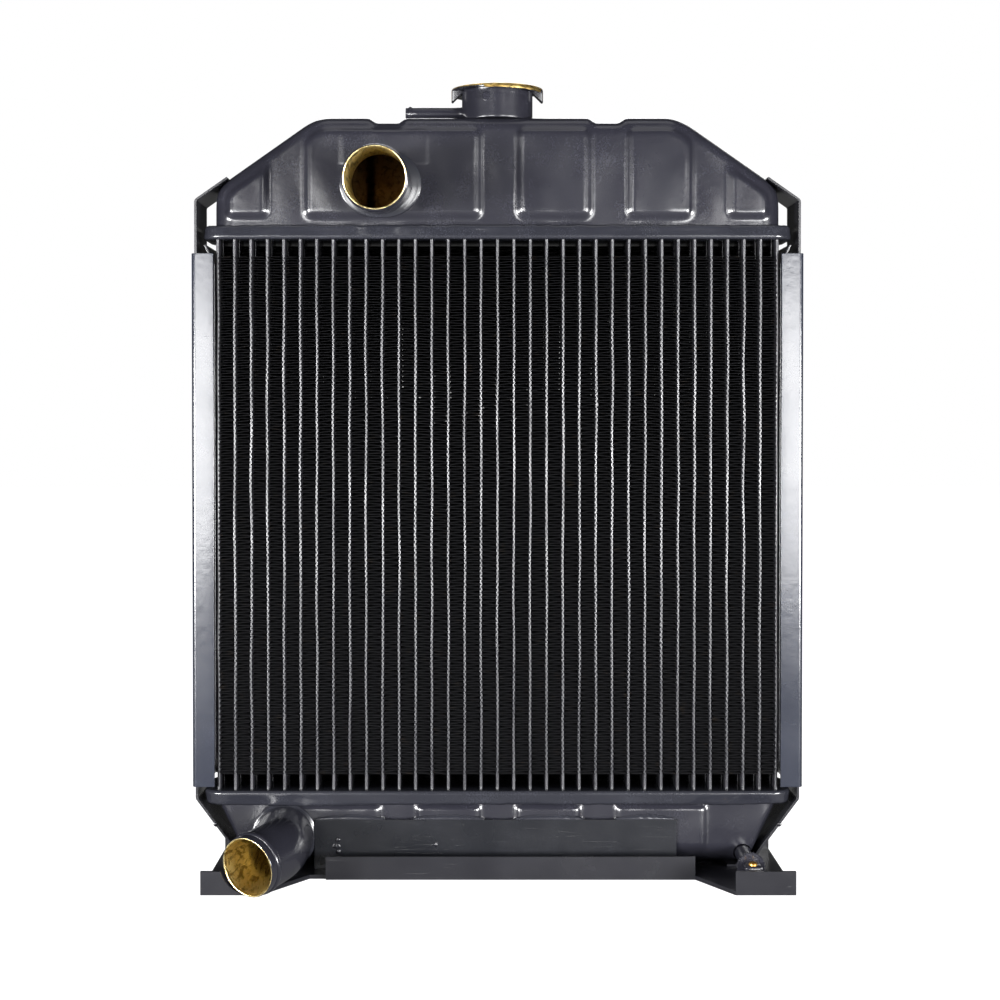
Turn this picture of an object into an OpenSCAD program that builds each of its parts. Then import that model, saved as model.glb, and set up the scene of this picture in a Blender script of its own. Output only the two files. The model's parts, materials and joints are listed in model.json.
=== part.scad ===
// Down-flow car radiator: two rows of flat tubes between pressed tanks, carried on a bent steel tray.
// Origin: centre of the tray's underside. X runs across the core, -Y is the hose side, Z is up.

/* [Core] */
// Number of tubes in each row
tubes_per_row = 35; // [33:2:35]
// Distance between neighbouring tubes
tube_pitch = 10.2; // [10:0.1:10.4]
// Thickness of a tube, across its flat sides
tube_t = 2; // [1.8:0.1:2.4]
// Width of a tube, from front to back
tube_w = 18; // [16:1:19]
// Distance between the centres of the two rows
row_gap = 24; // [22:1:25]
// Clear height between the two header plates
core_h = 341.4; // [300:1:360]

/* [Tanks] */
// Thickness of the pressed brass sheet
sheet = 1.2; // [0.8:0.1:1.4]
// Height of the upper tank above its header plate
upper_tank_h = 76; // [72:1:82]
// Depth of the lower tank below its header plate
lower_tank_h = 45.6; // [44:0.2:46]
// Depth of a tank from front to back, over its flat recesses
tank_d = 46.4; // [45:0.2:47]
// How far the pressed panels stand proud of the recesses
panel_rise = 2.8; // [1.5:0.1:3]
// Height of the header's rim
rim_h = 9.2; // [8:0.2:10]

/* [Hose necks] */
// Radius of the inlet neck, outside
inlet_r = 19.05; // [16:0.05:19.5]
// Radius of the outlet neck, outside
outlet_r = 18.25; // [16:0.05:18.25]
// Wall thickness of the hose necks
neck_wall = 1.2; // [0.8:0.1:1.5]
// Angle at which the inlet neck drops towards its mouth
inlet_drop = 3.6; // [0:0.2:6]
// Angle of the outlet elbow
elbow_angle = 32; // [20:1:34]

/* [Filler] */
// Radius of the filler neck, outside
filler_r = 22.2; // [20:0.1:23]
// Height of the filler neck above the tank
filler_h = 20; // [18:0.5:24]
// Radius of the cam flange that the cap locks under
cam_r = 28.8; // [27:0.1:30]

/* [Frame] */
// Thickness of the tray's steel
tray_t = 2.5; // [2:0.1:3]
// Height of the tray's turned-up lips
lip_h = 14; // [10:1:16]
// Thickness of the side straps
strap_t = 1.5; // [1:0.1:1.5]
// Thickness of the side plates and side channels
plate_t = 1.6; // [1:0.1:1.6]

/* [Drain] */
// Radius of the drain tap's shank
drain_shank_r = 3; // [2:0.1:3]

/* [Hidden] */
$fn = 48;

paint = [0.10, 0.10, 0.12];
paint_light = [0.22, 0.22, 0.26];
dull_black = [0.05, 0.05, 0.055];
brass = [0.72, 0.56, 0.22];
fibre = [0.35, 0.12, 0.08];

play = 0.05;                                   // gap between soldered pieces that fit in each other
over = 1;                                      // how far a cut runs past the face it leaves
hole_run = 40;                                 // length of the cut for a neck's hole, centred on the wall

// Core
core_half = (tubes_per_row - 1) / 2 * tube_pitch + tube_t / 2;
core_z0 = 50.6;
core_z1 = core_z0 + core_h;
tube_reach = sheet - play;                     // a tube ends flush inside each header plate
fin_d = 44;
fin_inset = 9.4;                               // bare tube between a header and the first fin, in front
fin_inset_rear = 1;                            // the same behind the front row of tubes
fin_step_y = 2;                                // how far behind the core's middle the fins grow longer

// Headers and tanks
header_half = core_half + 8.6;
header_d = 55;
header_corner = 14;
tank_half = core_half + 1.1;
tank_corner = 13;
upper_top = core_z1 + upper_tank_h;
lower_base = core_z0 - lower_tank_h;
tank_face = tank_d / 2 + panel_rise;           // how far forward a pressed panel stands
shoulder_angle = 35;
shoulder_normal = [sin(shoulder_angle), cos(shoulder_angle)];
shoulder_start = [tank_half - 3.5, core_z1 + 34];
top_dip = 68.5;                                // distance of the dips in the tank's top from its middle
dip_depth = 3;
dip_half = [6, 12];                            // half the width of a dip, at its floor and at its top
shoulder_r = [9, 26];                          // corner radii of the shoulder, below and above
top_edge_r = 8;
shoulder_band = 7;                             // plain band between a panel and the shoulder's edge
rib = 9;                                       // half the width of the channel between two panels
ribs = [0, top_dip, 131];                      // distance of each channel from the middle
panel_end = tank_half - 7.5;
upper_panel_r = 5;
lower_panel_r = 4;
panel_bend_r = 8;                              // where a panel's top turns down along the shoulder
corner_steps = 3;
lower_panel_gap = 20;                          // from the tank's end to the first lower panel
upper_panel_z = [core_z1 + 12, upper_top - 6];
lower_panel_z = [lower_base + 8, core_z0 - rim_h - 3];
lower_ribs = [0, 61.5, 133];
lower_end_lean = 0.458;
lower_end_z = core_z0 - 4.4;
bottom_edge_r = 12;

// Hose necks
inlet_at = [-72.3, -tank_face, core_z1 + 34.3];
inlet_len = 64;
outlet_at = [-132, -tank_face, 22.9];
outlet_stub = 32;
outlet_bend = 30;
outlet_leg = 21;
outlet_roll = 16;
hose_room = 1.6;                               // clear space round the outlet's leg, where a hose slides on
neck_inside = 3;                               // length of a neck inside its tank
bead_r = 1.2;
bead_back = 7;                                 // distance of the hose bead from the mouth
collar_t = 2;
collar_stretch = 4.5;

// Filler
filler_wall = 1.2;
filler_seat_r = 16;
filler_top = upper_top + filler_h;
cam_skirt = 3.6;
cam_ear = 8;
cam_angles = [-108, -18];                      // where the front skirt runs; the rear one is opposite
ear_angles = [-8, 10];
stop_at = [-7, 7];                             // the cap's stop stud: place in X, and depth from the top
stop_r = 2.8;
overflow_r = 4;
overflow_bore = 2.8;
overflow_z = upper_top + 5;
overflow_end = -57.6;
overflow_bead_r = 0.9;
overflow_bead_back = 3;

// Side pieces
channel_x = core_half + 0.6;
channel_flange = 8;
channel_z = [core_z0 + 18.4, core_z1 - 15];
flare = 5.5;                                   // how far a channel's ends flare out
flare_h = [15, 12];                            // height of the flared end below and above
side_d = 50;
side_out = core_half + 14.9;
side_in = core_half + 1.3;
side_z = [core_z0 + 2, core_z1 - 8.5];
strap_x = side_out - plate_t;
strap_d = 45;
strap_bend_z = core_z0 - 5.8;
strap_lean = 0.745;
strap_over_tank = 7;
strap_foot = 14;

// Tray
tray_half = 176;
tray_back = 28.6;
tray_front = -45.7;
tray_lip_x = [-105, 120.5];
lip_notch = 10;                                // gap between the middle lip and the left foot's slanting edge
foot_front = -83;
foot_in = 140.3;
rear_lip_h = 16;
foot_hole = [164, -62];
foot_hole_r = 5.5;
apron_x = [-113.4, 110.8];
apron_top = 33;

// Drain
drain_at = [152.5, 11.4];
drain_boss_r = 5;
drain_disc_r = 8.6;
drain_boss_y = [-56, -19];
drain_reach = 18;                              // length of the tap's shank inside the boss
drain_disc_t = 2.5;
drain_neck_r = 3.6;
drain_neck_h = 3;
grip = [10.8, 6, 10];
nub = [2.7, 5.4];                              // radius, and reach from the tap's axis
washer_r = 6.4;
washer_t = 1.5;
washer_play = 0.3;

// Points of an outline given as [x, y, corner radius], with each corner replaced by an arc
function unit(v) = v / norm(v);
function turn(a) = a > 180 ? a - 360 : (a < -180 ? a + 360 : a);
function corner(a, b, c, r, n) =
    r <= 0 ? [b] :
    let (u = unit(a - b), w = unit(c - b), half = acos(u * w) / 2)
    let (o = b + unit(u + w) * r / sin(half), s = b + u * r / tan(half) - o, e = b + w * r / tan(half) - o)
    let (a0 = atan2(s[1], s[0]), sweep = turn(atan2(e[1], e[0]) - a0))
    [for (i = [0:n]) o + r * [cos(a0 + sweep * i / n), sin(a0 + sweep * i / n)]];
function xy(p) = [p[0], p[1]];
function rounded(p, n = 5) =
    let (m = len(p))
    [for (i = [0:m - 1]) each corner(xy(p[(i + m - 1) % m]), xy(p[i]), xy(p[(i + 1) % m]), p[i][2], n)];
function reversed(p) = [for (i = [len(p) - 1:-1:0]) p[i]];
function mirrored(p) = [for (q = reversed(p)) [-q[0], q[1], q[2]]];

// Extrudes an outline drawn in X and Z along Y, or one drawn in Y and Z along X
module along_y(depth) { rotate([90, 0, 0]) linear_extrude(depth, center = true) children(); }
module along_x(width) { rotate([90, 0, 90]) linear_extrude(width, center = true) children(); }
module between_y(y0, y1) { translate([0, (y0 + y1) / 2, 0]) along_y(y1 - y0) children(); }

module rounded_rect(w, d, r) {
    square([w - 2 * r, d], center = true);
    square([w, d - 2 * r], center = true);
    for (x = [-1, 1], y = [-1, 1]) translate([x * (w / 2 - r), y * (d / 2 - r)]) circle(r);
}

module ring(r_out, r_in, h) {
    difference() {
        cylinder(r = r_out, h = h);
        translate([0, 0, -over]) cylinder(r = r_in, h = h + 2 * over);
    }
}

// ---- Tubes and fins ----

module tube_outline(grow) {
    square([tube_t + 2 * grow, tube_w - tube_t], center = true);
    for (y = [-1, 1]) translate([0, y * (tube_w - tube_t) / 2]) circle(tube_t / 2 + grow, $fn = 24);
}

module tube_places(y) {
    for (i = [0:tubes_per_row - 1])
        translate([(i - (tubes_per_row - 1) / 2) * tube_pitch, y]) children();
}

module tube_row(y) {
    tube_wall = 0.3;
    tube_places(y) translate([0, 0, core_z0 - tube_reach]) linear_extrude(core_h + 2 * tube_reach)
        difference() {
            tube_outline(0);
            tube_outline(-tube_wall);
        }
}

module front_tubes() color(paint_light) tube_row(-row_gap / 2);
module rear_tubes() color(paint_light) tube_row(row_gap / 2);

// Each strip stands for the folded fin that fills the space between two tubes
module fin_strips() {
    strip = tube_pitch - tube_t - 2 * play;
    color(dull_black)
    for (i = [0:tubes_per_row - 2]) translate([(i + 1 - tubes_per_row / 2) * tube_pitch, 0, 0]) {
        along_x(strip) fin_side(-fin_d / 2, fin_step_y, fin_inset);
        along_x(strip) fin_side(fin_step_y, fin_d / 2, fin_inset_rear);
    }
}

// Side view of a fin strip between two depths, held back from both headers by the inset
module fin_side(y0, y1, inset) {
    translate([y0, core_z0 + inset]) square([y1 - y0, core_h - 2 * inset]);
}

// ---- Headers ----

// A shallow pan with slots for the tubes; its rim folds in over the tank's flange
module header_pan() {
    difference() {
        linear_extrude(rim_h) rounded_rect(2 * header_half, header_d, header_corner);
        translate([0, 0, sheet]) linear_extrude(rim_h - 2 * sheet)
            rounded_rect(2 * (header_half - sheet), header_d - 2 * sheet, header_corner - sheet);
        translate([0, 0, sheet]) linear_extrude(rim_h)
            rounded_rect(2 * (tank_half + play), tank_d + 2 * play, tank_corner);
        translate([0, 0, -over]) linear_extrude(sheet + 2 * over)
            for (y = [-1, 1]) tube_places(y * row_gap / 2) tube_outline(play);
    }
}

module upper_header() color(paint_light) translate([0, 0, core_z1]) header_pan();
module lower_header() color(paint_light) translate([0, 0, core_z0]) mirror([0, 0, 1]) header_pan();

module tank_flange() {
    inset = sheet + 2 * play;
    linear_extrude(sheet) difference() {
        rounded_rect(2 * (header_half - inset), header_d - 2 * inset, header_corner - sheet);
        rounded_rect(2 * (tank_half - sheet), tank_d - 2 * sheet, tank_corner - sheet);
    }
}

// ---- Upper tank ----

// Outline of the upper tank, moved in by k on every side; the bottom runs down to z0
function shoulder_offset(k) = shoulder_start * shoulder_normal - k;
function shoulder_at_x(x, k) = (shoulder_offset(k) - x * shoulder_normal[0]) / shoulder_normal[1];
function shoulder_at_z(z, k) = (shoulder_offset(k) - z * shoulder_normal[1]) / shoulder_normal[0];
function upper_half_outline(k, z0) =
    let (top = upper_top - k, x = tank_half - k)
    [[x, z0, 0], [x, shoulder_at_x(x, k), shoulder_r[0]], [shoulder_at_z(top, k), top, shoulder_r[1]],
     [top_dip + dip_half[1] - k / 2, top, 3], [top_dip + dip_half[0] + k / 2, top - dip_depth, 3],
     [top_dip - dip_half[0] - k / 2, top - dip_depth, 3], [top_dip - dip_half[1] + k / 2, top, 3]];

module upper_block(k, z0) {
    top = upper_top - k;
    half_d = tank_d / 2 - k;
    half = upper_half_outline(k, z0);
    intersection() {
        along_y(tank_d) polygon(rounded(concat(half, mirrored(half))));
        translate([0, 0, z0]) linear_extrude(upper_tank_h + over)
            rounded_rect(2 * (tank_half - k), 2 * half_d, tank_corner - k);
        along_x(2 * tank_half)
            polygon(rounded([[-half_d, z0, 0], [half_d, z0, 0],
                [half_d, top, top_edge_r - k], [-half_d, top, top_edge_r - k]]));
    }
}

// One pressed panel between x0 and x1, its top cut along the shoulder
function shoulder_panel_top(x, k) = min(upper_panel_z[1] - k, shoulder_at_x(abs(x), k) - shoulder_band);
module upper_panel(x0, x1, side, k) {
    a = x0 + k;
    b = x1 - k;
    z0 = upper_panel_z[0] + k;
    bend = shoulder_at_z(upper_panel_z[1] - k + shoulder_band, k);
    r = upper_panel_r;
    bends = a < bend && bend < b ? [[bend, upper_panel_z[1] - k, panel_bend_r]] :
        (a < -bend && -bend < b ? [[-bend, upper_panel_z[1] - k, panel_bend_r]] : []);
    outline = concat([[a, z0, r], [b, z0, r], [b, shoulder_panel_top(b, k), r]], bends,
        [[a, shoulder_panel_top(a, k), r]]);
    y = side * (tank_face - k);
    between_y(min(0, y), max(0, y)) polygon(rounded(outline, corner_steps));
}

module upper_panels(k) {
    // behind: one panel between every two channels
    for (m = [0, 1]) mirror([m, 0, 0]) {
        upper_panel(ribs[0] + rib, ribs[1] - rib, 1, k);
        upper_panel(ribs[1] + rib, ribs[2] - rib, 1, k);
        upper_panel(ribs[2] + rib, panel_end, 1, k);
        upper_panel(ribs[2] + rib, panel_end, -1, k);
    }
    // in front: one wide panel carries the inlet
    upper_panel(ribs[0] + rib, ribs[1] - rib, -1, k);
    upper_panel(ribs[1] + rib, ribs[2] - rib, -1, k);
    upper_panel(-ribs[2] + rib, -ribs[0] - rib, -1, k);
}

module upper_tank() {
    base = core_z1 + sheet;
    color(paint) difference() {
        union() {
            upper_block(0, base);
            upper_panels(0);
            translate([0, 0, base]) tank_flange();
        }
        upper_block(sheet, base - over);
        intersection() {
            upper_panels(sheet);
            translate([0, 0, base]) linear_extrude(upper_tank_h)
                rounded_rect(2 * panel_end, 2 * tank_face, 2);
        }
        inlet_frame() cylinder(r = inlet_r + play, h = hole_run, center = true);
        translate([0, 0, upper_top]) cylinder(r = filler_seat_r + 1, h = hole_run / 2, center = true);
    }
}

// ---- Lower tank ----

function lower_half_outline(k, z1) =
    let (x = tank_half - k, base = lower_base + k)
    [[tank_half - k - lower_end_lean * (lower_end_z - base), base, 8],
     [x, lower_end_z, 3], [x, z1, 0]];

module lower_block(k, z1) {
    base = lower_base + k;
    half_d = tank_d / 2 - k;
    half = lower_half_outline(k, z1);
    intersection() {
        along_y(tank_d) polygon(rounded(concat(half, mirrored(half))));
        translate([0, 0, base]) linear_extrude(z1 - base)
            rounded_rect(2 * (tank_half - k), 2 * half_d, tank_corner - k);
        along_x(2 * tank_half)
            polygon(rounded([[-half_d, z1, 0], [-half_d, base, bottom_edge_r - k],
                [half_d, base, bottom_edge_r - k], [half_d, z1, 0]]));
    }
}

module lower_panel(x0, x1, side, k) {
    y = side * (tank_face - k);
    z = [lower_panel_z[0] + k, lower_panel_z[1] - k];
    r = lower_panel_r;
    outline = [[x0 + k, z[0], r], [x1 - k, z[0], r], [x1 - k, z[1], r], [x0 + k, z[1], r]];
    between_y(min(0, y), max(0, y)) polygon(rounded(outline, corner_steps));
}

module lower_panels(k) {
    end = tank_half - lower_panel_gap;
    for (m = [0, 1]) mirror([m, 0, 0]) {
        lower_panel(lower_ribs[0] + rib, lower_ribs[1] - rib, 1, k);
        lower_panel(lower_ribs[1] + rib, end, 1, k);
        lower_panel(lower_ribs[0] + rib, lower_ribs[1] - rib, -1, k);
    }
    lower_panel(lower_ribs[1] + rib, lower_ribs[2] - rib, -1, k);
    // the outlet's panel
    lower_panel(-end, -lower_ribs[1] - rib, -1, k);
}

module lower_tank() {
    top = core_z0 - sheet;
    color(paint) difference() {
        union() {
            lower_block(0, top);
            lower_panels(0);
            translate([0, 0, top - sheet]) tank_flange();
        }
        lower_block(sheet, top + over);
        lower_panels(sheet);
        outlet_frame() cylinder(r = outlet_r + play, h = hole_run, center = true);
        drain_frame(-tank_d / 2) cylinder(r = drain_boss_r + play, h = hole_run / 2, center = true);
    }
}

// ---- Hose necks ----

// Z runs out of the tank along the neck
module inlet_frame() { translate(inlet_at) rotate([90 + inlet_drop, 0, 0]) children(); }
module outlet_frame() {
    translate(outlet_at) rotate([90, 0, 0]) rotate([0, 0, 180 + outlet_roll]) children();
}
module outlet_leg_frame() {
    shift = outlet_bend * (1 - cos(elbow_angle));
    outlet_frame() translate([shift, 0, outlet_stub + outlet_bend * sin(elbow_angle)])
        rotate([0, elbow_angle, 0]) children();
}

// A straight length of neck; the bead that keeps a hose on is near its mouth
module neck_tube(r, length) {
    rotate_extrude() difference() {
        union() {
            translate([r - neck_wall, 0]) square([neck_wall, length]);
            translate([r - 0.3, length - bead_back]) circle(bead_r, $fn = 24);
        }
        translate([0, length - 2 * bead_back]) square([r - neck_wall, 2 * bead_back]);
    }
}

module inlet_pipe() {
    color(paint) inlet_frame() translate([0, 0, -neck_inside]) neck_tube(inlet_r, inlet_len + neck_inside);
}

module inlet_collar() {
    color(paint) difference() {
        translate([inlet_at[0], 0, inlet_at[2]]) between_y(-tank_face - collar_t, -tank_face) {
            square([2 * collar_stretch, 2 * (inlet_r + 2)], center = true);
            for (x = [-1, 1]) translate([x * collar_stretch, 0]) circle(inlet_r + 2);
        }
        inlet_frame() cylinder(r = inlet_r + play, h = hole_run, center = true);
    }
}

// Straight stub, bend, and a straight leg that carries the bead
module outlet_pipe() {
    bore = outlet_r - neck_wall;
    color(paint) outlet_frame() {
        translate([0, 0, -neck_inside]) ring(outlet_r, bore, outlet_stub + neck_inside);
        translate([outlet_bend, 0, outlet_stub]) rotate([90, 0, 0]) rotate([0, 0, 180 - elbow_angle])
            rotate_extrude(angle = elbow_angle) translate([outlet_bend, 0]) difference() {
                circle(outlet_r);
                circle(bore);
            }
    }
    color(paint) outlet_leg_frame() neck_tube(outlet_r, outlet_leg);
}

module outlet_collar() {
    color(paint) intersection() {
        outlet_frame() ring(outlet_r + 2, outlet_r + play, collar_t);
        translate([-tray_half, -tray_half, 0])
            cube([tray_half + apron_x[0] - play, 2 * tray_half, core_z0 - rim_h - play]);
    }
}

// ---- Filler ----

module filler_neck() {
    color(paint) difference() {
        union() {
            translate([0, 0, upper_top]) cylinder(r = filler_r, h = filler_h - sheet);
            // stop stud for the cap, below the cam flange
            translate([stop_at[0], 0, filler_top - stop_at[1]]) rotate([90, 0, 0])
                cylinder(r = stop_r, h = filler_r, $fn = 24);
        }
        translate([0, 0, upper_top + filler_wall]) cylinder(r = filler_r - filler_wall, h = filler_h);
        translate([0, 0, upper_top - over]) cylinder(r = filler_seat_r, h = filler_h);
        translate([0, 0, overflow_z]) rotate([0, -90, 0])
            cylinder(r = overflow_r + play, h = filler_r + over);
    }
}

module sector(a0, a1, r) {
    steps = 6;
    arc = [for (i = [0:steps]) let (a = a0 + (a1 - a0) * i / steps) r * [cos(a), sin(a)]];
    polygon(concat([[0, 0]], arc));
}

// A flat ring with turned-down edges: two long cam skirts, and two ears that stop the cap
module cam_flange() {
    color(brass) {
        translate([0, 0, filler_top - sheet]) ring(cam_r, filler_r - filler_wall, sheet);
        for (side = [0, 180]) rotate([0, 0, side]) {
            cam_edge(cam_angles, cam_skirt);
            cam_edge(ear_angles, cam_ear);
        }
    }
}

module cam_edge(angles, h) {
    translate([0, 0, filler_top - h]) intersection() {
        ring(cam_r, cam_r - sheet, h - sheet);
        linear_extrude(h) sector(angles[0], angles[1], 2 * cam_r);
    }
}

module overflow_tube() {
    start = -(filler_r - filler_wall);
    length = start - overflow_end;
    color(paint) translate([start, 0, overflow_z]) rotate([0, -90, 0]) difference() {
        union() {
            cylinder(r = overflow_r, h = length);
            translate([0, 0, length - overflow_bead_back]) rotate_extrude()
                translate([overflow_r - 0.2, 0]) circle(overflow_bead_r, $fn = 24);
        }
        translate([0, 0, -over]) cylinder(r = overflow_bore, h = length + 2 * over);
    }
}

// ---- Side pieces, drawn for the right side ----

// Channel against the core: web, outward flanges, and ends that flare out under the headers
module side_channel() {
    z = channel_z;
    low = z[0] - flare_h[0];
    high = z[1] + flare_h[1];
    x = channel_x;
    t = plate_t;
    along_y(fin_d) polygon([[x, z[0]], [x + flare, low], [x + flare + t, low], [x + t, z[0]],
        [x + t, z[1]], [x + flare + t, high], [x + flare, high], [x, z[1]]]);
    for (y = [-fin_d / 2, fin_d / 2 - t]) translate([x + t, y, z[0]])
        cube([channel_flange - t, t, z[1] - z[0]]);
}

// Outer plate: a flat web with a flange turned in at the front and at the back
module side_plate() {
    t = plate_t;
    translate([0, 0, side_z[0]]) linear_extrude(side_z[1] - side_z[0]) difference() {
        translate([side_in, -side_d / 2]) square([side_out - side_in, side_d]);
        translate([side_in - over, -side_d / 2 + t]) square([side_out - side_in - t + over, side_d - 2 * t]);
    }
}

// Strap from the tank's shoulder down to the tray, with a foot turned in under the lower tank
module strap() {
    x = strap_x;
    t = strap_t;
    top_in = shoulder_at_x(x - t, 0);
    top_out = shoulder_at_x(x, -t);
    run = strap_over_tank * [-shoulder_normal[1], shoulder_normal[0]];
    end_in = shoulder_start + run;
    end_out = end_in + t * shoulder_normal;
    slant = t * sqrt(1 + strap_lean * strap_lean);
    foot_out = x - strap_lean * (strap_bend_z - tray_t);
    foot_in_x = foot_out - slant + strap_lean * t;
    shift = (slant - t) / strap_lean;
    along_y(strap_d) polygon([[x, strap_bend_z], [x, top_out], end_out, end_in, [x - t, top_in],
        [x - t, strap_bend_z + shift], [foot_in_x, tray_t + t], [foot_in_x - strap_foot, tray_t + t],
        [foot_in_x - strap_foot, tray_t], [foot_out, tray_t]]);
}

module left_side_channel() color(paint) mirror([1, 0, 0]) side_channel();
module right_side_channel() color(paint) side_channel();
module left_side_plate() color(paint_light) mirror([1, 0, 0]) side_plate();
module right_side_plate() color(paint_light) side_plate();
module left_strap() color(paint) mirror([1, 0, 0]) strap();
module right_strap() color(paint) strap();

// ---- Tray ----

module support_tray() {
    inner_front = tray_front + tray_t;
    color(paint) difference() {
        union() {
            linear_extrude(tray_t) polygon([[-tray_half, tray_back], [-tray_half, foot_front],
                [-foot_in, foot_front], [tray_lip_x[0] - lip_notch, inner_front],
                [tray_lip_x[0], inner_front], [tray_lip_x[0], tray_front], [tray_lip_x[1], tray_front],
                [foot_in, foot_front], [tray_half, foot_front], [tray_half, tray_back]]);
            translate([-tray_half, tray_back - tray_t, 0]) cube([2 * tray_half, tray_t, rear_lip_h]);
            translate([tray_lip_x[0], tray_front, 0]) cube([tray_lip_x[1] - tray_lip_x[0], tray_t, lip_h]);
            for (x = [-tray_half, foot_in])
                translate([x, foot_front, 0]) cube([tray_half - foot_in, tray_t, lip_h]);
        }
        for (x = [-1, 1]) translate([x * foot_hole[0], foot_hole[1], -over])
            cylinder(r = foot_hole_r, h = tray_t + 2 * over);
        outlet_leg_frame() cylinder(r = outlet_r + hose_room, h = 2 * outlet_leg);
    }
}

module front_plate() {
    color(paint) translate([apron_x[0], -tank_face - plate_t, tray_t])
        cube([apron_x[1] - apron_x[0], plate_t, apron_top - tray_t]);
}

// ---- Drain ----

// Z runs forward, out of the boss
module drain_frame(y) { translate([drain_at[0], y, drain_at[1]]) rotate([90, 0, 0]) children(); }

module drain_boss() {
    color(brass) drain_frame(drain_boss_y[1])
        ring(drain_boss_r, drain_shank_r + play, drain_boss_y[1] - drain_boss_y[0]);
}

module drain_washer()
    color(fibre) drain_frame(drain_boss_y[0]) ring(washer_r, drain_shank_r + washer_play, washer_t);

// Plain shank in place of the thread, seating disc, neck, flat grip for the fingers, and a nub on the grip
module drain_tap() {
    color(brass) drain_frame(drain_boss_y[0] - washer_t) {
        translate([0, 0, -drain_reach - washer_t]) cylinder(r = drain_shank_r, h = drain_reach + washer_t);
        cylinder(r = drain_disc_r, h = drain_disc_t);
        translate([0, 0, drain_disc_t]) cylinder(r = drain_neck_r, h = drain_neck_h);
        translate([-grip[0] / 2, -grip[1] / 2, drain_disc_t + drain_neck_h]) cube(grip);
        translate([0, 0, drain_disc_t + drain_neck_h + grip[2] / 2]) rotate([-90, 0, 0])
            cylinder(r = nub[0], h = nub[1]);
    }
}

upper_tank();
lower_tank();
upper_header();
lower_header();
front_tubes();
rear_tubes();
fin_strips();
left_side_channel();
right_side_channel();
left_side_plate();
right_side_plate();
left_strap();
right_strap();
inlet_pipe();
inlet_collar();
outlet_pipe();
outlet_collar();
filler_neck();
cam_flange();
overflow_tube();
support_tray();
front_plate();
drain_boss();
drain_washer();
drain_tap();
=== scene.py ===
"""Looks of a down-flow car radiator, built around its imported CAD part.

X runs across the core, -Y is the hose side and Z is up. Shapes are worked out in millimetres, and
piece() turns them into Blender's metres.
"""
import json
import math

import bmesh
import bpy
import numpy as np
from mathutils import Matrix, Vector


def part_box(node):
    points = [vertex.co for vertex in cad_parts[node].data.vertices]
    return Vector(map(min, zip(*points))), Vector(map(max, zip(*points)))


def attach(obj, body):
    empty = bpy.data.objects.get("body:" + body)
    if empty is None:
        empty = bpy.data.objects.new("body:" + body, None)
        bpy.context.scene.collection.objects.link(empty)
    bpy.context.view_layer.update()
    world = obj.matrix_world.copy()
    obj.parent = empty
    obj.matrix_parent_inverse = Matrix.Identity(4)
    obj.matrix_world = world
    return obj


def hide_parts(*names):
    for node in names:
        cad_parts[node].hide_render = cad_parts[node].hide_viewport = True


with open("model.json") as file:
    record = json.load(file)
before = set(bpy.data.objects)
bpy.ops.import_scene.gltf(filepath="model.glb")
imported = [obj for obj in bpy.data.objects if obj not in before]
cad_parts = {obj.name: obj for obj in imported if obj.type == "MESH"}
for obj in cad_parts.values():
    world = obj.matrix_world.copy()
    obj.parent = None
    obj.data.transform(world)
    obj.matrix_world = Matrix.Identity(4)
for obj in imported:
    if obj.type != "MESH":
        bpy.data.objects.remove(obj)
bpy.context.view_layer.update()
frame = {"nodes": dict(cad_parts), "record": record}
scene = bpy.context.scene

MM = 0.001


def corners(node):
    """Lowest and highest corner of a CAD node, in millimetres."""
    low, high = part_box(node)
    return np.array(low) / MM, np.array(high) / MM


def centre_of(node):
    """Centre of a CAD node's box, in millimetres."""
    low, high = corners(node)
    return (low + high) / 2


def mount(name):
    """Place, outward direction and radius of one of the record's mounts, in millimetres."""
    found = next(m for m in frame["record"]["mounts"] if m["name"] == name)
    return np.array(found["pos_m"]) / MM, np.array(found["axis"], float), found["dims"]["r_mm"]


# ---- Sizes that the pieces share, in millimetres ----

SHEET = 1.2  # thickness of the pressed brass sheet
TANK_CORNER = 13  # radius of a tank's upright corners
PANEL_RISE = 2.8  # how far the pressed panels stand out
PRESS_RAMP = 4.4  # width of the slope at a panel's edge
SHOULDER = math.radians(35)  # slope of the upper tank's shoulders
SHOULDER_START = (172, 34)  # a point on the shoulder: distance from the middle, height over the header
TUBES = 35
TUBE_PITCH = 10.2
TUBE_T = 2  # thickness of a tube, across the core
TUBE_W = 18  # width of a tube, from front to back
COLLAR = 2  # how far a collar reaches beyond its neck
NECK_LAP = 0.3  # how much smaller a tank's hole is than the neck in it
NECK_SIDES = 96
FILLER_BORE = 21.0

tank_high = corners("upper_tank")[1]
sump_low, sump_high = corners("lower_tank")
core_top = corners("upper_header")[0][2]
core_base = corners("lower_header")[1][2]
tank_face = tank_high[1]
recess_face = tank_face - PANEL_RISE
tank_half = corners("fin_strips")[1][0] + 3.2
shoulder_x, shoulder_z = math.sin(SHOULDER), math.cos(SHOULDER)
inlet_place, inlet_axis, inlet_r = mount("inlet_neck")
outlet_r = mount("outlet_neck")[2]


# ---- Mesh helpers ----

def xyz(x, y, z):
    """Points from X, Y and Z, each one number or as many as there are points."""
    return np.stack(np.broadcast_arrays(x, y, z), axis=-1)


def placed(name, data):
    """A new object in the scene."""
    obj = bpy.data.objects.new(name, data)
    scene.collection.objects.link(obj)
    return obj


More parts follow.
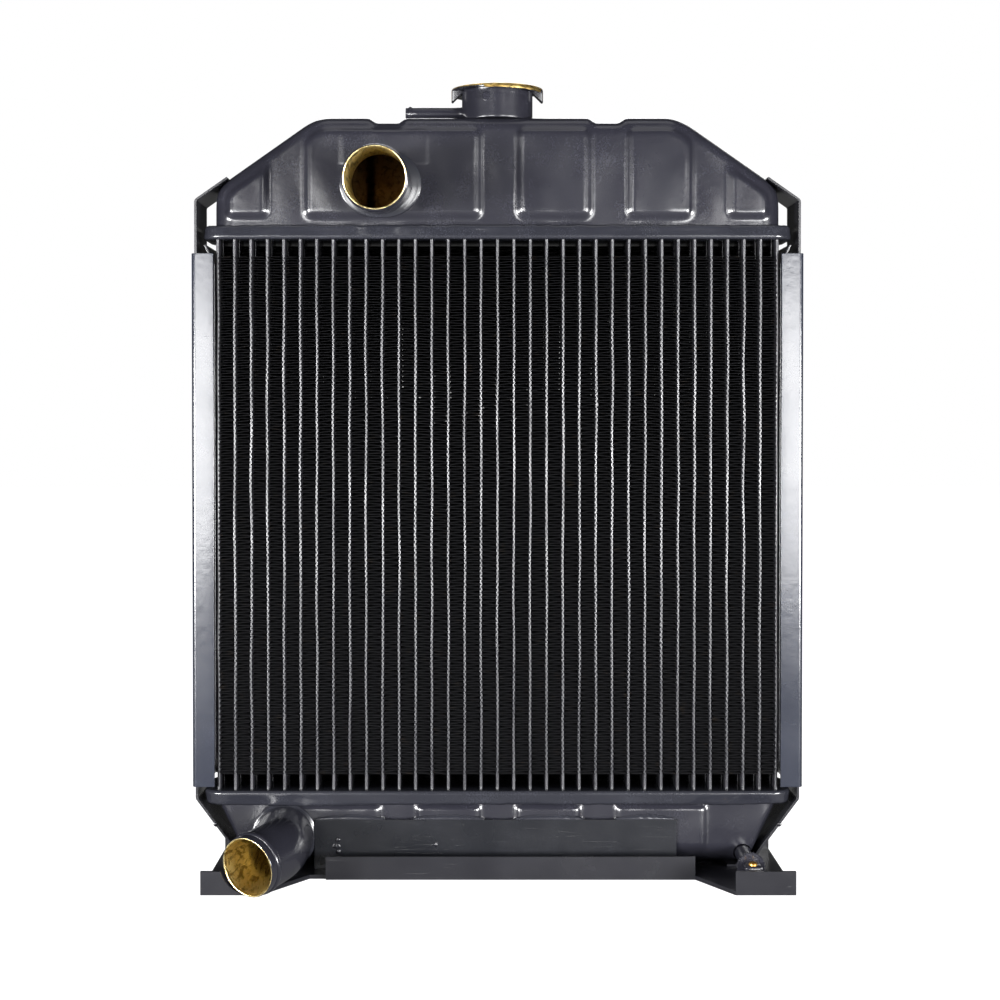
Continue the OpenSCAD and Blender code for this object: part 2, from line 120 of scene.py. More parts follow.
def piece(name, shape, materials, replaced=(), body="root", sharp=35, parts=None):
    """Makes a piece from points in millimetres and faces; parts gives each face its place in materials."""
    vertices, faces = shape
    mesh = bpy.data.meshes.new(name)
    mesh.from_pydata((np.asarray(vertices, float) * MM).tolist(), [], faces)
    for material in materials:
        mesh.materials.append(material)
    if parts is not None:
        mesh.polygons.foreach_set("material_index", np.asarray(parts, np.int32))
    obj = placed(name, mesh)
    outward(mesh)
    soften(mesh, sharp)
    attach(obj, body)
    if replaced:
        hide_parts(*replaced)
    return obj


def outward(mesh):
    """Turns every face of the mesh outward."""
    shape = bmesh.new()
    shape.from_mesh(mesh)
    bmesh.ops.recalc_face_normals(shape, faces=shape.faces)
    shape.to_mesh(mesh)
    shape.free()


def soften(mesh, sharp):
    """Shades the mesh smooth, apart from edges that turn by more than sharp degrees."""
    mesh.shade_smooth()
    mesh.set_sharp_from_angle(angle=math.radians(sharp))


def grid_faces(rows, columns, closed=True, looped=False):
    """Faces between neighbouring rows of points.

    closed joins the two ends of every row, and looped joins the last row to the first.
    """
    across = columns if closed else columns - 1
    along = rows if looped else rows - 1
    faces = []
    for r in range(along):
        for c in range(across):
            a = r * columns + c
            b = r * columns + (c + 1) % columns
            up = ((r + 1) % rows - r) * columns
            faces.append((a, b, b + up, a + up))
    return faces


def loft(rings, closed=True):
    """Points and faces of a surface through rings of equally many points, with both ends capped."""
    rings = np.array(rings, float)
    rows, columns = rings.shape[:2]
    faces = grid_faces(rows, columns, closed)
    faces.append(tuple(range(columns))[::-1])
    faces.append(tuple(range((rows - 1) * columns, rows * columns)))
    return rings.reshape(-1, 3), faces


def joined(*shapes):
    """Several (points, faces) as one."""
    points, faces, start = [], [], 0
    for some_points, some_faces in shapes:
        points.append(np.asarray(some_points, float))
        faces += [tuple(i + start for i in face) for face in some_faces]
        start += len(some_points)
    return np.concatenate(points), faces


def baked(obj):
    """Applies the piece's modifiers to its mesh."""
    graph = bpy.context.evaluated_depsgraph_get()
    mesh = bpy.data.meshes.new_from_object(obj.evaluated_get(graph))
    obj.modifiers.clear()
    obj.data = mesh
    return obj


def cut(obj, start, end, radius, sharp=35):
    """Bores a round hole from start to end, in millimetres."""
    start, end = Vector(start), Vector(end)
    shape = bmesh.new()
    bmesh.ops.create_cone(shape, cap_ends=True, segments=72, radius1=radius * MM, radius2=radius * MM,
                          depth=(end - start).length * MM)
    mesh = bpy.data.meshes.new("bore")
    shape.to_mesh(mesh)
    shape.free()
    tool = placed("bore", mesh)
    turn = (end - start).to_track_quat("Z", "Y").to_matrix().to_4x4()
    tool.matrix_world = Matrix.Translation((start + end) / 2 * MM) @ turn
    bore = obj.modifiers.new("bore", "BOOLEAN")
    bore.object = tool
    bore.solver = "EXACT"
    bpy.context.view_layer.update()
    baked(obj)
    bpy.data.objects.remove(tool)
    soften(obj.data, sharp)


def ease(t):
    """0 below 0, 1 above 1, and a smooth change between them."""
    t = np.clip(t, 0, 1)
    return t * t * (3 - 2 * t)


def hump(t):
    """1 at 0, falling smoothly to 0 at -1 and 1."""
    return ease(1 - np.abs(t))


def lower_of(a, b, blend):
    """The smaller of a and b, with a rounded change from one to the other."""
    return np.minimum(a, b) - np.maximum(blend - np.abs(a - b), 0) ** 2 / (4 * blend)


def ripple(u, v, size, seed):
    """Gentle unevenness, about -1 to 1, in patches of the given size."""
    random = np.random.default_rng(seed)
    total = 0
    for _ in range(7):
        angle, phase, pace = random.uniform(0, math.tau, 3) * (1, 1, 0.15)
        reach = math.tau / size * (0.6 + pace)
        total = total + np.sin((u * math.cos(angle) + v * math.sin(angle)) * reach + phase)
    return total / 3.5


def filleted(path, radius):
    """Points of a flat path with rounded corners, and the sideways direction at each."""
    steps = 6
    path = [Vector(p) for p in path]
    points, sides = [], []

    def add(point, direction):
        points.append(point)
        sides.append(Vector((-direction.y, direction.x)))

    add(path[0], (path[1] - path[0]).normalized())
    for before, here, after in zip(path, path[1:], path[2:]):
        a = (before - here).normalized()
        b = (after - here).normalized()
        half = a.angle(b) / 2
        centre = here + (a + b).normalized() * radius / math.sin(half)
        first = here + a * radius / math.tan(half) - centre
        last = here + b * radius / math.tan(half) - centre
        sweep = first.angle_signed(last)
        for i in range(steps + 1):
            spoke = first.copy()
            spoke.rotate(Matrix.Rotation(-sweep * i / steps, 2))
            tangent = Vector((-spoke.y, spoke.x)) * (-1 if sweep > 0 else 1)
            add(centre + spoke, tangent.normalized())
    add(path[-1], (path[-1] - path[-2]).normalized())
    return np.array(points), np.array(sides)


def bent_sheet(path, thickness, radius, spans, place):
    """A strip of sheet bent along a flat path and drawn out through spans.

    place maps (a, b, span) to X, Y, Z.
    """
    middle, sides = filleted(path, radius)
    outline = np.concatenate([middle + sides * thickness / 2, (middle - sides * thickness / 2)[::-1]])
    return loft([[place(a, b, span) for a, b in outline] for span in spans])


def lathe(profile, origin, axis, sides):
    """Rows of points round an axis; profile is (distance along the axis, radius) from start to end."""
    axis = Vector(axis).normalized()
    across = axis.orthogonal().normalized()
    up = axis.cross(across)
    angles = np.arange(sides) / sides * math.tau
    around = np.outer(np.cos(angles), across) + np.outer(np.sin(angles), up)
    return np.array([np.array(origin) + np.array(axis) * s + around * r for s, r in profile])


def ring_solid(rows):
    """A closed solid of rows of points, whose last row is joined to the first."""
    rows = np.array(rows)
    return rows.reshape(-1, 3), grid_faces(len(rows), rows.shape[1], looped=True)


def turned(profile, origin, axis, sides):
    """A closed turned solid whose profile begins and ends on the axis or is a closed loop off it."""
    return ring_solid(lathe(profile, origin, axis, sides))


def edge_arc(centre, radius, start, end, steps):
    """Points (along, radius) of a rounded edge in a profile, from angle start to end in degrees."""
    angles = np.radians(np.linspace(start, end, steps + 1))
    return [(centre[0] + radius * math.sin(a), centre[1] + radius * math.cos(a)) for a in angles]


# ---- Materials ----

def fill(node, values):
    """Sets a node's inputs."""
    for name, value in values.items():
        node.inputs[name].default_value = value


class Surface:
    """A principled material and the few nodes that the finishes share."""

    def __init__(self, name, colour, roughness, metallic=0.0, specular=0.5):
        self.material = bpy.data.materials.new(name)
        self.material.use_nodes = True
        self.nodes = self.material.node_tree.nodes
        self.links = self.material.node_tree.links
        self.shader = self.nodes["Principled BSDF"]
        self.place = self.nodes.new("ShaderNodeTexCoord").outputs["Object"]
        self.normal = None
        fill(self.shader, {"Base Color": (*colour, 1), "Roughness": roughness, "Metallic": metallic,
                           "Specular IOR Level": specular})

    def noise(self, size, detail=2.0, stretch=(1, 1, 1), rough=0.5, distortion=0.0):
        """Noise in patches of the given size in millimetres, stretched along X, Y and Z."""
        mapping = self.nodes.new("ShaderNodeMapping")
        fill(mapping, {"Scale": [1 / (size * MM * s) for s in stretch]})
        texture = self.nodes.new("ShaderNodeTexNoise")
        fill(texture, {"Scale": 1, "Detail": detail, "Roughness": rough, "Distortion": distortion})
        self.links.new(self.place, mapping.inputs["Vector"])
        self.links.new(mapping.outputs["Vector"], texture.inputs["Vector"])
        return texture.outputs["Fac"]

    def spread(self, value, low, high, out_low=0.0, out_high=1.0):
        """Maps value from low..high to out_low..out_high, and keeps it there."""
        node = self.nodes.new("ShaderNodeMapRange")
        fill(node, {"From Min": low, "From Max": high, "To Min": out_low, "To Max": out_high})
        self.links.new(value, node.inputs["Value"])
        return node.outputs["Result"]

    def times(self, a, b):
        """The product of two sockets."""
        node = self.nodes.new("ShaderNodeMath")
        node.operation = "MULTIPLY"
        self.links.new(a, node.inputs[0])
        self.links.new(b, node.inputs[1])
        return node.outputs["Value"]

    def mix(self, value, first, second):
        """Mixes two colours, or sockets that carry them, by value."""
        node = self.nodes.new("ShaderNodeMix")
        node.data_type = "RGBA"
        self.links.new(value, node.inputs["Factor"])
        for socket, colour in ((node.inputs[6], first), (node.inputs[7], second)):
            if isinstance(colour, tuple):
                socket.default_value = (*colour, 1)
            else:
                self.links.new(colour, socket)
        return node.outputs[2]

    def colour(self, socket):
        """Drives the base colour."""
        self.links.new(socket, self.shader.inputs["Base Color"])

    def roughness(self, socket):
        """Drives the roughness."""
        self.links.new(socket, self.shader.inputs["Roughness"])

    def bump(self, height, depth):
        """Adds relief, depth millimetres deep where height runs from 0 to 1."""
        node = self.nodes.new("ShaderNodeBump")
        fill(node, {"Strength": 1, "Distance": depth * MM})
        self.links.new(height, node.inputs["Height"])
        if self.normal is not None:
            self.links.new(self.normal, node.inputs["Normal"])
        self.normal = node.outputs["Normal"]
        self.links.new(self.normal, self.shader.inputs["Normal"])


def black_paint(name, colour, gloss, grain=0.012, scratches=0.0, specular=0.5):
    """Sprayed black paint on pressed metal: patchy gloss, orange peel, fine grain and a little dust."""
    s = Surface(name, colour, gloss, specular=specular)
    patches = s.noise(38, detail=3)
    speckle = s.noise(0.55)
    dust = s.spread(s.times(s.noise(0.9), s.noise(24, detail=3)), 0.30, 0.42)
    deep = tuple(c * 0.78 for c in colour)
    dusty = tuple(c * 1.3 + 0.001 for c in colour)
    s.colour(s.mix(dust, s.mix(patches, deep, colour), dusty))
    s.roughness(s.spread(patches, 0.3, 0.7, gloss * 0.85, gloss * 1.2))
    s.bump(s.noise(4.5), 0.05)
    s.bump(speckle, grain)
    if scratches:
        marks = s.spread(s.noise(3.0, detail=4, stretch=(9, 9, 0.35), distortion=0.6), 0.66, 0.72)
        s.bump(marks, scratches)
    return s.material


def core_paint(name, colour, gloss, length):
    """Paint on the tubes: runs and grains drawn out along Z."""
    s = Surface(name, colour, gloss)
    runs = s.noise(1.1, detail=3, stretch=(1, 1, length))
    s.colour(s.mix(runs, tuple(c * 0.6 for c in colour), colour))
    s.roughness(s.spread(s.noise(9, detail=3, stretch=(0.4, 1, 3)), 0.3, 0.7, gloss * 0.8, gloss * 1.5))
    s.bump(runs, 0.012)
    s.bump(s.noise(0.8), 0.006)
    return s.material


def fin_paint(name):
    """Thin matt black over copper, a little warmer where it is worn."""
    s = Surface(name, (0.004, 0.004, 0.005), 0.85, specular=0.12)
    worn = s.spread(s.noise(7, detail=4), 0.62, 0.8)
    s.colour(s.mix(worn, (0.004, 0.004, 0.005), (0.018, 0.013, 0.009)))
    s.roughness(s.spread(s.noise(1.5), 0.3, 0.7, 0.7, 0.95))
    s.bump(s.noise(0.7, detail=3), 0.06)
    return s.material


def brass(name, colour, roughness, around=(1, 1, 1), tarnish=0.35, grooves=0.02):
    """Bare brass, brushed along the direction that around stretches, with tarnish and darker rubs."""
    s = Surface(name, colour, roughness, metallic=1.0)
    brush = s.noise(0.6, detail=4, stretch=around, rough=0.65)
    stain = s.spread(s.noise(14, detail=4, distortion=0.8), 0.45, 0.68, 0, tarnish)
    streak = s.spread(s.noise(3.0, detail=4, stretch=around, distortion=0.6), 0.50, 0.62, 0, 0.8)
    dull = tuple(c * k for c, k in zip(colour, (0.62, 0.50, 0.34)))
    dark = tuple(c * k for c, k in zip(colour, (0.30, 0.24, 0.14)))
    s.colour(s.mix(streak, s.mix(stain, colour, dull), dark))
    s.roughness(s.spread(brush, 0.35, 0.65, roughness * 0.7, roughness * 1.5))
    s.bump(brush, grooves)
    return s.material


def fibre(name):
    """Vulcanised fibre of a sealing washer."""
    s = Surface(name, (0.25, 0.08, 0.05), 0.75)
    s.colour(s.mix(s.noise(1.2, detail=5), (0.30, 0.10, 0.06), (0.16, 0.05, 0.035)))
    s.bump(s.noise(0.4, detail=4), 0.05)
    return s.material


BLACK = black_paint("tank_black", (0.012, 0.012, 0.0165), 0.195)
STEEL_BLACK = black_paint("frame_black", (0.008, 0.008, 0.0105), 0.24, grain=0.008, scratches=0.02)
APRON_BLACK = black_paint("apron_black", (0.006, 0.0065, 0.0085), 0.28, grain=0.008, scratches=0.05,
                          specular=0.28)
PLATE_BLACK = black_paint("plate_black", (0.012, 0.014, 0.022), 0.17, grain=0.002, scratches=0.006)
SEAM_BLACK = black_paint("seam_black", (0.014, 0.0145, 0.019), 0.20, grain=0.006)
TUBE_BLACK = core_paint("tube_black", (0.02, 0.02, 0.024), 0.26, 14)
FIN_BLACK = fin_paint("fin_black")
BRASS_RIM = brass("brass_rim", (0.93, 0.78, 0.40), 0.24, tarnish=0.1)
BRASS_BORE = brass("brass_bore", (0.92, 0.76, 0.34), 0.34, around=(1, 9, 1), tarnish=0.25, grooves=0.04)
BRASS_FLANGE = brass("brass_flange", (0.86, 0.62, 0.22), 0.3, around=(6, 6, 1), tarnish=0.3)
BRASS_INSIDE = brass("brass_inside", (0.05, 0.028, 0.011), 0.5, tarnish=0.8)
BRASS_TAP = brass("brass_tap", (0.45, 0.26, 0.07), 0.35)
FIBRE = fibre("fibre")


# ---- Tanks ----

def relief(x, h, spans, heights, corner=6.0, sloped=False):
    """How far a tank's side stands out at (x, h), with a pressed panel over each of the spans.

    Where sloped is set, the panels keep clear of the plain band along the shoulders.
    """
    base, top = heights
    start_x, start_h = SHOULDER_START
    band = 6.0
    gap = (start_x - np.abs(x)) * shoulder_x + (start_h - (h + SHEET)) * shoulder_z - band
    total = np.zeros_like(h)
    for left, right in spans:
        side = np.abs(x - (left + right) / 2) - (right - left) / 2 + corner
        rise = np.abs(h - (base + top) / 2) - (top - base) / 2 + corner
        past_corner = np.hypot(np.maximum(side, 0), np.maximum(rise, 0))
        outside = past_corner + np.minimum(np.maximum(side, rise), 0) - corner
        if sloped:
            outside = -lower_of(-outside, gap, 4.0)
        total = np.maximum(total, ease(-outside / PRESS_RAMP))
    return total * PANEL_RISE


def tank_shell(name, node, away, height, edge, front, back, rows):
    """A pressed shell lofted along X, hollow and open at the header.

    away is +1 or -1 in Z. height gives how far the shell stands off the header at a distance from the
    middle, and edge is the radius along its top. front and back give how far each side stands out at
    (x, h), and rows are the heights of the points.
    """
    low, high = corners(node)
    base = low[2] if away > 0 else high[2]
    corner_points, middle_points, edge_points, top_points = 13, 196, 8, 9
    turn = np.radians(np.linspace(0, 90, corner_points))
    end_x = tank_half - TANK_CORNER + TANK_CORNER * np.sin(turn)
    middle = np.linspace(-end_x[0], end_x[0], middle_points)
    stations = np.concatenate([-end_x[:0:-1], middle, end_x[1:]])
    up = np.radians(np.linspace(0, 90, edge_points)[1:])
    down = up[::-1]
    side = np.ones(len(rows))
    facing = np.concatenate([-side, -np.cos(up), np.zeros(top_points - 2), np.cos(down), side])
    rings = []
    for x in stations:
        inset = max(0.0, abs(x) - end_x[0])
        depth = recess_face - TANK_CORNER + math.sqrt(max(TANK_CORNER ** 2 - inset ** 2, 0))
        top = float(height(abs(x)))
        r = min(edge, depth - 1, top * 0.45)
        flat = depth - r
        side_h = rows / rows[-1] * (top - r)
        across = np.linspace(-flat, flat, top_points)[1:-1]
        y = np.concatenate([-depth * side, -flat - r * np.cos(up), across, flat + r * np.cos(down),
                            depth * side])
        h = np.concatenate([side_h, top - r + r * np.sin(up), np.full(len(across), top),
                            top - r + r * np.sin(down), side_h[::-1]])
        out = np.where(facing < 0, front(x, h), back(x, h)) * np.abs(facing)
        y = y + np.sign(facing) * out
        rings.append(xyz(x, y, base + away * h))
    shell = loft(rings, closed=False)
    obj = piece(name, shell, [BLACK, BRASS_INSIDE], [node], sharp=50)
    wall = obj.modifiers.new("wall", "SOLIDIFY")
    wall.thickness = SHEET * MM
    wall.offset = -1
    wall.material_offset = 1
    wall.use_even_offset = True
    return baked(obj)


def upper_height(distance):
    """Height of the upper tank over its foot: flat, with two dips, sloping shoulders and rounded ends."""
    start_x, start_h = SHOULDER_START
    flat = tank_high[2] - core_top - SHEET
    dip_x, dip_depth, dip_reach, dip_ramp = 68.0, 3.0, 12.5, 6.5
    flat = flat - dip_depth * ease((dip_reach - abs(distance - dip_x)) / dip_ramp)
    slope = start_h - SHEET + (start_x - distance) * shoulder_x / shoulder_z
    end_r = 10.0
    cx = tank_half - end_r
    cz = start_h - SHEET + ((start_x - cx) * shoulder_x - end_r) / shoulder_z
    if distance > cx + end_r * shoulder_x:
        return cz + math.sqrt(max(end_r ** 2 - (distance - cx) ** 2, 0))
    return lower_of(flat, slope, 6.0)


def upper_tank():
    """Six panels behind; in front the second and third are one, which the inlet stands on."""
    ribs = (-130.5, -68.5, 1.0, 69.0, 131.5)
    rib = 10.0
    end = tank_half - 6.5
    heights = (11.0, 68.8)
    edges = [-end] + [e for r in ribs for e in (r - rib, r + rib)] + [end]
    spans = list(zip(edges[::2], edges[1::2]))
    inlet_panel = (spans[1][0], spans[2][1])
    pad_left, pad_right, pad_base, pad_top = -97.0, -43.5, 45.0, 66.8
    pad_step, pad_ramp = 0.22, 0.9
    uneven, patch = 0.22, 34

    def front(x, h):
        out = relief(x, h, [spans[0], inlet_panel, *spans[3:]], heights, sloped=True)
        side = np.minimum(x - pad_left, pad_right - x)
        rise = np.minimum(h - pad_base, pad_top - h)
        out = out + pad_step * ease(np.minimum(side, rise) / pad_ramp + 0.5)
        return out + uneven * ripple(x, h, patch, seed=3) - uneven - pad_step

    def back(x, h):
        out = relief(x, h, spans, heights, sloped=True)
        return out + uneven * ripple(x, h, patch, seed=4) - uneven

    near_pad = [pad_base - 0.5, pad_base + 0.5, pad_top - 1.0]
    rows = np.unique(np.concatenate([np.linspace(0, pad_top, 37), near_pad]))
    obj = tank_shell("upper_tank_shell", "upper_tank", 1, upper_height, 8.0, front, back, rows)
    reach = (-recess_face - inlet_place[1]) / inlet_axis[1]
    root = inlet_place + inlet_axis * reach
    through = inlet_axis * 12
    cut(obj, root - through, root + through, inlet_r - NECK_LAP, sharp=50)
    top, filler_hole = tank_high[2], 17.0
    cut(obj, (0, 0, top - 9), (0, 0, top + 9), filler_hole, sharp=50)


def lower_tank():
    """Four panels on each side, between sloping ends."""
    ribs = (-139.0, -61.5, 0.5, 62.5, 140.5)
    rib = 9.5
    heights = (6.0, 37.5)
    lean = 0.458
    lip, least = 3.2, 2.0
    uneven, patch = 0.2, 30
    inner = [(a + rib, b - rib) for a, b in zip(ribs, ribs[1:])]

    def height(distance):
        flat = sump_high[2] - sump_low[2]
        return max(least, float(lower_of(flat, lip + (tank_half - distance) / lean, 9.0)))

    def face(seed):
        def out(x, h):
            return relief(x, h, inner, heights, corner=5.0) + uneven * ripple(x, h, patch, seed) - uneven
        return out

    rows = np.linspace(0, 33, 24)
    obj = tank_shell("lower_tank_shell", "lower_tank", -1, height, 12.0, face(7), face(8), rows)
    root = outlet_root()
    through = np.array((0, 12, 0))
    cut(obj, root + through, root - through, outlet_r - NECK_LAP, sharp=50)
    drain_x, _, drain_z = centre_of("drain_boss")
    drain_hole = 5.6
    cut(obj, (drain_x, -40, drain_z), (drain_x, -10, drain_z), drain_hole, sharp=50)


# ---- Headers ----

def around_rectangle(half_x, half_y, radius, step):
    """Points and outward directions round a rectangle with rounded corners."""
    points, normals = [], []
    for cx, cy, start in ((1, 1, 0), (-1, 1, 90), (-1, -1, 180), (1, -1, 270)):
        centre = np.array([cx * (half_x - radius), cy * (half_y - radius)])
        for a in np.radians(np.linspace(start, start + 90, 9)):
            normal = np.array([math.cos(a), math.sin(a)])
            points.append(centre + radius * normal)
            normals.append(normal)
    dense_points, dense_normals = [], []
    for i, (p, n) in enumerate(zip(points, normals)):
        q = points[(i + 1) % len(points)]
        m = normals[(i + 1) % len(points)]
        parts = max(1, round(np.linalg.norm(q - p) / step))
        for k in range(parts):
            dense_points.append(p + (q - p) * k / parts)
            dense_normals.append(n + (m - n) * k / parts)
    return np.array(dense_points), np.array(dense_normals)


def header(node, away, dents, seed):
    """Tube plate whose rim is folded over the tank's flange.

    dents(x, y) gives how far the rim is pushed in, and how much further its free edge reaches.
    """
    low, high = corners(node)
    rim_h = high[2] - low[2]
    base = low[2] if away > 0 else high[2]
    path, normals = around_rectangle(high[0], high[1], 14.0, 2.5)
    x, y = path[:, 0], path[:, 1]
    end_pace, end_offset = 3, 900  # keep the waves of the ends apart from those of the long sides
    on_long_side = np.abs(y) > high[1] - 1
    run = np.where(on_long_side, x * np.sign(-y), y * end_pace + end_offset * np.sign(x))
    push, reach = dents(x, y)
    inside = 3.5  # rows further in than this lie against the tank
    long_wave, short_wave, edge_wave, gap = 0.55, 0.2, 0.3, 0.35
    profile = [(4.0, 0.0), (1.9, 0.08), (0.9, 0.35), (0.3, 0.95), (0.1, 1.9), (0.25, 3.0), (0.42, 4.6),
               (0.5, 6.2), (0.6, 7.4), (1.1, 8.5), (2.0, rim_h), (3.1, rim_h - 0.15), (4.2, rim_h - 0.9),
               (4.25, 1.2)]
    rings = []
    for inset, h in profile:
        loose = ease((h - 2.0) / 5.0) if inset < inside else 0.0
        wave = long_wave * ripple(run, h * 2.0, 26, seed) + short_wave * ripple(run, h * 3.0, 7, seed + 1)
        away_in = np.maximum(inset + loose * (gap + wave * 0.6 + push), 0.0)
        lift = reach + edge_wave * ripple(run, 0, 9, seed + 2) - edge_wave
        z = h + loose * ease((h - 5) / 4) * lift
        z = np.minimum(z, rim_h + np.maximum(reach, 0))
        p = path - normals * away_in[:, None]
        rings.append(xyz(p[:, 0], p[:, 1], base + away * z))
    piece(f"{node}_pan", loft(rings), [SEAM_BLACK], [node], sharp=70)


def upper_header():
    """Header under the upper tank, dented at its left end and its right."""
    def dents(x, y):
        front = y < 0
        push = front * (1.3 * hump((x + 160) / 17) + 0.7 * hump((x + 118) / 22) + 1.0 * hump((x - 152) / 20))
        return push, -0.5 * front * hump((x + 170) / 20)
    header("upper_header", 1, dents, seed=21)


def lower_header():
    """Header over the lower tank, dented most at its right end."""
    def dents(x, y):
        front = y < 0
        push = front * (1.0 * hump((x + 150) / 18) + 1.9 * hump((x - 158) / 17) + 0.9 * hump((x - 128) / 9))
        reach = front * (0.9 * hump((x + 118) / 60) - 0.8 * hump((x - 172) / 14))
        return push, reach
    header("lower_header", -1, dents, seed=31)


# ---- Core ----

def tube_row(node, seed):
    """One row of flat tubes, each drawn with the slight sway and twist of a real one."""
    low, high = corners(node)
    y_mid = centre_of(node)[1]
    random = np.random.default_rng(seed)
    nose = np.radians(np.linspace(-90, 90, 9))
    half = TUBE_T / 2
    flat = TUBE_W / 2 - half
    side_y = np.linspace(flat, -flat, 4)[1:-1]
    front = [(half * math.sin(a), -flat - half * math.cos(a)) for a in nose]
    one_side = np.array(front + [(half, y) for y in side_y[::-1]])
    outline = np.concatenate([one_side, -one_side])
    heights = np.linspace(low[2], high[2], 32)
    straight_end = 40  # the headers hold the ends of the tubes straight
    held = np.minimum(1, np.minimum(heights - low[2], high[2] - heights) / straight_end)
    shapes = []
    for i in range(TUBES):
        x = (i - (TUBES - 1) / 2) * TUBE_PITCH
        sway = 0.16 * ripple(heights, 0, random.uniform(60, 120), int(random.integers(999)))
        twist = 0.035 * ripple(heights, 0, 80, int(random.integers(999)))
        pinch = 1 - 0.10 * random.random() - 0.05 * ripple(heights, 0, 45, i)
        rings = []
        for z, s, t, p, free in zip(heights, sway, twist, pinch, held):
            px = outline[:, 0] * (1 - free * (1 - p))
            px = px + free * (s + t * outline[:, 1])
            rings.append(xyz(x + px, y_mid + outline[:, 1], z))
        shapes.append(loft(rings))
    piece(f"{node}_drawn", joined(*shapes), [TUBE_BLACK], [node], sharp=60)


def fin(index, low, high):
    """One folded strip between two tubes: loops that touch the tubes, joined by legs.

    The legs wave from front to back, so that no daylight passes through.
    """
    metal, fold_pitch, clear = 0.16, 3.3, 0.01
    random = np.random.default_rng(100 + index)
    x_mid = (index + 1 - TUBES / 2) * TUBE_PITCH
    reach = (TUBE_PITCH - TUBE_T) / 2 + 0.1
    folds = max(2, round((high[2] - low[2]) / fold_pitch))
    fold = (high[2] - low[2]) / folds
    middle = []
    start = low[2] - fold / 2
    bend = [(-0.70, -0.5), (-0.96, -0.34), (-1.0, 0.0), (-0.96, 0.34), (-0.70, 0.5)]
    sag = random.uniform(-0.12, 0.12)
    for k in range(2 * folds + 2):
        side = 1 if k % 2 else -1
        z = start + (k + 0.5) * fold / 2 + random.normal(0, 0.07)
        loop = fold / 4 * random.uniform(0.72, 0.98)
        for across, along in bend:
            middle.append((x_mid - side * across * reach, z + along * 2 * loop + side * sag))
    middle = np.array(middle)
    middle[:, 1] = np.maximum.accumulate(middle[:, 1])
    middle[:, 1] = np.clip(middle[:, 1], low[2] + metal, high[2] - metal)
    run = np.gradient(middle, axis=0)
    run = run / np.maximum(np.linalg.norm(run, axis=1), 1e-6)[:, None]
    sides = np.stack([-run[:, 1], run[:, 0]], axis=1) * metal / 2
    outline = np.stack([middle + sides, middle - sides], axis=1)
    front, back = low[1] + 0.2, high[1] - 0.2
    fold_y = np.array((front, (low[1] + high[1]) / 2, back))
    wave = np.array((-0.3, 0.3, -0.3)) * fold
    strips = []
    for y, lift in zip(fold_y, wave):
        drift = lift + 0.1 * ripple(outline[:, :, 1], y, 11, index)
        z = np.clip(outline[:, :, 1] + drift, low[2] + clear, high[2] - clear)
        strips.append(xyz(outline[:, :, 0], y, z))
    rows = [strip[:, 0] for strip in strips] + [strip[:, 1] for strip in reversed(strips)]
    points = np.array(rows)
    return points.reshape(-1, 3), grid_faces(len(rows), len(middle), closed=False, looped=True)


def fins():
    """The fins stop short of the headers in front, and nearly reach them behind the front tubes."""
    low, high = corners("fin_strips")
    bare = 8.4  # how far the front of a fin stops short of its back, in Z
    step_y = 2.0  # where the longer part of a fin begins
    gap = 0.1
    full_low, full_high = low + (0, 0, bare), high - (0, 0, bare)
    blocks = [(full_low, full_high),
              (np.array((low[0], step_y, low[2])), np.array((high[0], high[1], full_low[2] - gap))),
              (np.array((low[0], step_y, full_high[2] + gap)), high)]
    strips = [fin(i, start, end) for i in range(TUBES - 1) for start, end in blocks]
    piece("folded_fins", joined(*strips), [FIN_BLACK], ["fin_strips"], sharp=50)


# ---- Side pieces ----

def side_plate(node, side):
    """Outer plate bent to a channel: a broad flange in front and behind."""
    low, high = corners(node)
    t = 1.6
    inner = low[0] if side > 0 else -high[0]
    outer = high[0] if side > 0 else -low[0]
    d = high[1] - t / 2
    path = [(inner, -d), (outer - t / 2, -d), (outer - t / 2, d), (inner, d)]

    def place(a, b, z):
        a = a - 0.10 * (1 + math.sin(z / 31 + side)) * ease((outer - a) / 10)
        b = b + 0.18 * ease((outer - a) / 12) * math.sin(z / 47 + 2 * side) * (1 if b < 0 else -1)
        return side * a, b, z

    points, faces = bent_sheet(path, t, 1.9, np.linspace(low[2], high[2], 60), place)
    points[:, 1] = np.clip(points[:, 1], low[1], high[1])
    edged(piece(f"{node}_sheet", (points, faces), [PLATE_BLACK], [node]), 0.35)


def edged(obj, width, angle=50):
    """Breaks the piece's sharp edges."""
    bevel = obj.modifiers.new("edges", "BEVEL")
    bevel.width = width * MM
    bevel.segments = 2
    bevel.limit_method = "ANGLE"
    bevel.angle_limit = math.radians(angle)
    bevel.harden_normals = True


def strap(node, side):
    """Strap from the tank's shoulder down past the core, and in under the lower tank."""
    low, high = corners(node)
    t = 1.5
    over_tank, below_core, lean, foot = 6.5, 5.55, 0.745, 13
    x = (high[0] if side > 0 else -low[0]) - t / 2
    start_x, start_h = SHOULDER_START
    on_shoulder = np.array(SHOULDER_START) + (0, core_top) + np.array((shoulder_x, shoulder_z)) * t / 2
    over = on_shoulder + over_tank * np.array((-shoulder_z, shoulder_x))
    bend_top = core_top + start_h - (x - start_x) * shoulder_x / shoulder_z + t / 2 / shoulder_z
    bend_low = core_base - below_core
    foot_z = low[2] + t / 2
    foot_x = x - lean * (bend_low - foot_z)
    path = [over, (x, bend_top), (x, bend_low), (foot_x, foot_z), (foot_x - foot, foot_z)]
    spans = np.linspace(low[1], high[1], 8)
    bar = bent_sheet(path, t, 2.4, spans, lambda a, b, y: (side * a, y, b))
    edged(piece(f"{node}_bar", bar, [STEEL_BLACK], [node]), 0.3)


